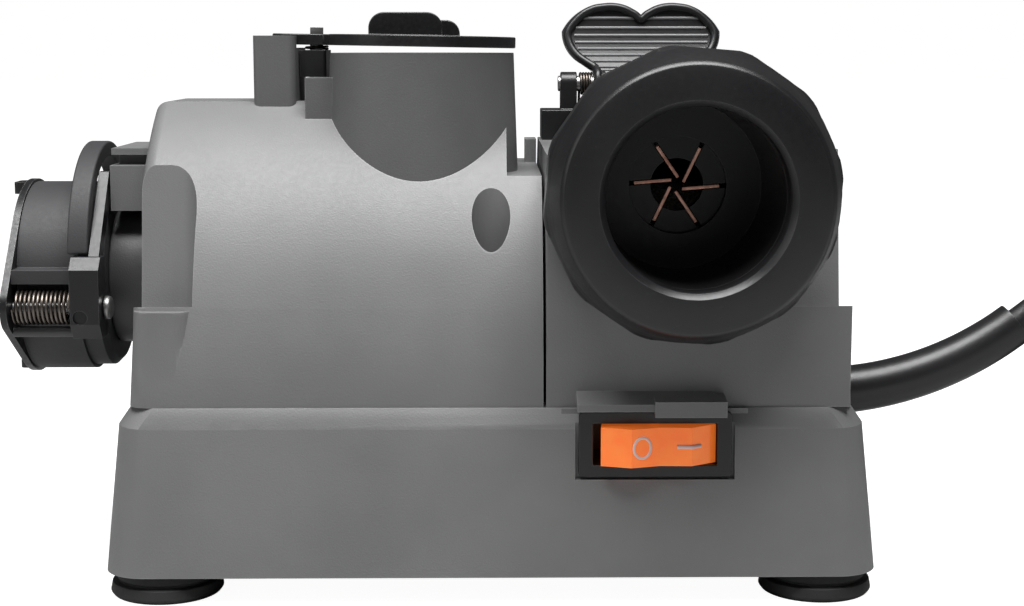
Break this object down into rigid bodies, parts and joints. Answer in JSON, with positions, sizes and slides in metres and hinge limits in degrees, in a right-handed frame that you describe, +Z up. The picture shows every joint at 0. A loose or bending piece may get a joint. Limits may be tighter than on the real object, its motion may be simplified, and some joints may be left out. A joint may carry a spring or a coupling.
{
  "type": "multi-purpose sharpener",
  "caption": "Electric bench-top sharpener with a knife jig on its end, a lidded chisel turret on top and a drill chuck in front, driven by one belt-turned grinding shaft.",
  "frame": {"origin": "middle of the underside of the machine's box, cord left out, on the floor", "axes": "+X to the right along the grinding shaft, +Y to the back, +Z up; the drill chuck and switch face -Y"},
  "size_m": [0.3591, 0.1676, 0.123],
  "materials": {
    "grey_plastic": "fine-textured moulded plastic, cool grey",
    "dark_plastic": "fine-textured moulded plastic, dark grey",
    "black_plastic": "smooth matt black plastic",
    "black_metal": "thin black-coated sheet steel",
    "orange_plastic": "translucent orange plastic",
    "rubber": "soft black rubber",
    "belt_rubber": "black toothless belt",
    "cord_plastic": "soft black PVC",
    "steel": "turned and zinc-plated steel",
    "spring_steel": "brownish spring wire",
    "bright_steel": "nickel-plated",
    "copper_plate": "copper-coloured strips",
    "brass": "stamped brass",
    "aluminium": "turned aluminium",
    "grit": "coarse bonded abrasive",
    "magnet": "sintered ferrite"
  },
  "bodies": {
    "housing": {"base_shell": "grey_plastic", "left_housing": "grey_plastic", "drill_tower": "grey_plastic", "bottom_cover": "dark_plastic", "rubber_feet": "rubber", "foot_screws": "steel", "housing_screws": "steel", "switch_frame": "black_plastic", "switch_terminals": "brass", "bearing_frame": "steel", "shaft_bearings": "steel", "drive_belt": "belt_rubber", "motor_can": "steel", "motor_end_cap": "black_plastic", "motor_magnets": "magnet", "turret": "dark_plastic", "lid_bracket": "black_plastic", "lid_pin": "steel", "lid_spring": "spring_steel", "jig_hub": "dark_plastic", "jig_drum": "black_plastic", "guard_ring": "black_plastic", "jig_end_plate": "black_metal", "clamp_screw": "steel", "clamp_spring": "spring_steel", "tie_rod": "steel", "chuck_body": "black_plastic", "jaw_plate": "black_plastic", "paddle_bracket": "black_plastic", "paddle_pin": "steel", "paddle_spring": "spring_steel", "cord_sleeve": "black_plastic", "cord": "cord_plastic", "cord_coil": "cord_plastic", "cord_tail": "cord_plastic", "cord_tie": "cord_plastic", "plug_body": "cord_plastic", "plug_pins": "bright_steel"},
    "rocker": {"switch_rocker": "orange_plastic"},
    "grinding_shaft": {"main_shaft": "steel", "knife_wheel": "grit", "turret_wheel": "grit", "drill_wheel": "grit", "wheel_flanges": "steel", "shaft_pulley": "aluminium"},
    "rotor": {"motor_shaft": "steel", "motor_rotor": "steel", "motor_pulley": "aluminium"},
    "lid": {"turret_lid": "black_metal"},
    "clamp": {"clamp_arm": "black_plastic"},
    "ring": {"chuck_ring": "black_plastic"},
    "paddle": {"heart_paddle": "black_plastic"},
    "jaw_body_1": {"jaw_1": "copper_plate"},
    "jaw_body_2": {"jaw_2": "copper_plate"},
    "jaw_body_3": {"jaw_3": "copper_plate"},
    "jaw_body_4": {"jaw_4": "copper_plate"},
    "jaw_body_5": {"jaw_5": "copper_plate"},
    "jaw_body_6": {"jaw_6": "copper_plate"}
  },
  "joints": [
    {"name": "rocker_tilt", "type": "hinge", "parent": "housing", "child": "rocker", "pos_m": [0.04635, -0.04, 0.033], "axis": [0, 0, 1], "range_deg": [-16, 0]},
    {"name": "shaft_spin", "type": "hinge", "parent": "housing", "child": "grinding_shaft", "pos_m": [0, 0.0035, 0.062], "axis": [1, 0, 0], "continuous": true},
    {"name": "motor_spin", "type": "hinge", "parent": "housing", "child": "rotor", "pos_m": [0, 0.0255, 0.0275], "axis": [1, 0, 0], "continuous": true},
    {"name": "lid_swing", "type": "hinge", "parent": "housing", "child": "lid", "pos_m": [-0.02585, 0.0075, 0.1132], "axis": [0.0175, 0, 0.9998], "range_deg": [0, 110]},
    {"name": "clamp_open", "type": "hinge", "parent": "housing", "child": "clamp", "pos_m": [-0.07205, -0.0213, 0.058], "axis": [1, 0, 0], "range_deg": [0, 18], "stiffness_Nm_per_rad": 0.02, "springref_deg": -17.19},
    {"name": "chuck_turn", "type": "hinge", "parent": "housing", "child": "ring", "pos_m": [0.05265, -0.0525, 0.0838], "axis": [0, 1, 0], "range_deg": [0, 120]},
    {"name": "paddle_press", "type": "hinge", "parent": "housing", "child": "paddle", "pos_m": [0.04865, 0.0245, 0.1043], "axis": [1, 0, 0], "range_deg": [-20, 0], "stiffness_Nm_per_rad": 0.02, "springref_deg": 17.19},
    {"name": "jaw_slide_1", "type": "slide", "parent": "housing", "child": "jaw_body_1", "axis": [0.9968, 0, 0.0802], "range_m": [0, 0.0045]},
    {"name": "jaw_slide_2", "type": "slide", "parent": "housing", "child": "jaw_body_2", "axis": [0.4289, 0, 0.9033], "range_m": [0, 0.0045]},
    {"name": "jaw_slide_3", "type": "slide", "parent": "housing", "child": "jaw_body_3", "axis": [-0.5678, 0, 0.8231], "range_m": [0, 0.0045]},
    {"name": "jaw_slide_4", "type": "slide", "parent": "housing", "child": "jaw_body_4", "axis": [-0.9968, 0, -0.0802], "range_m": [0, 0.0045]},
    {"name": "jaw_slide_5", "type": "slide", "parent": "housing", "child": "jaw_body_5", "axis": [-0.4289, 0, -0.9033], "range_m": [0, 0.0045]},
    {"name": "jaw_slide_6", "type": "slide", "parent": "housing", "child": "jaw_body_6", "axis": [0.5678, 0, -0.8231], "range_m": [0, 0.0045]}
  ],
  "couplings": [
    {"joint": "motor_spin", "follows": "shaft_spin", "ratio": 1.5},
    {"joint": "jaw_slide_1", "follows": "chuck_turn", "m_per_rad": 0.0021484},
    {"joint": "jaw_slide_2", "follows": "chuck_turn", "m_per_rad": 0.0021484},
    {"joint": "jaw_slide_3", "follows": "chuck_turn", "m_per_rad": 0.0021484},
    {"joint": "jaw_slide_4", "follows": "chuck_turn", "m_per_rad": 0.0021484},
    {"joint": "jaw_slide_5", "follows": "chuck_turn", "m_per_rad": 0.0021484},
    {"joint": "jaw_slide_6", "follows": "chuck_turn", "m_per_rad": 0.0021484}
  ]
}
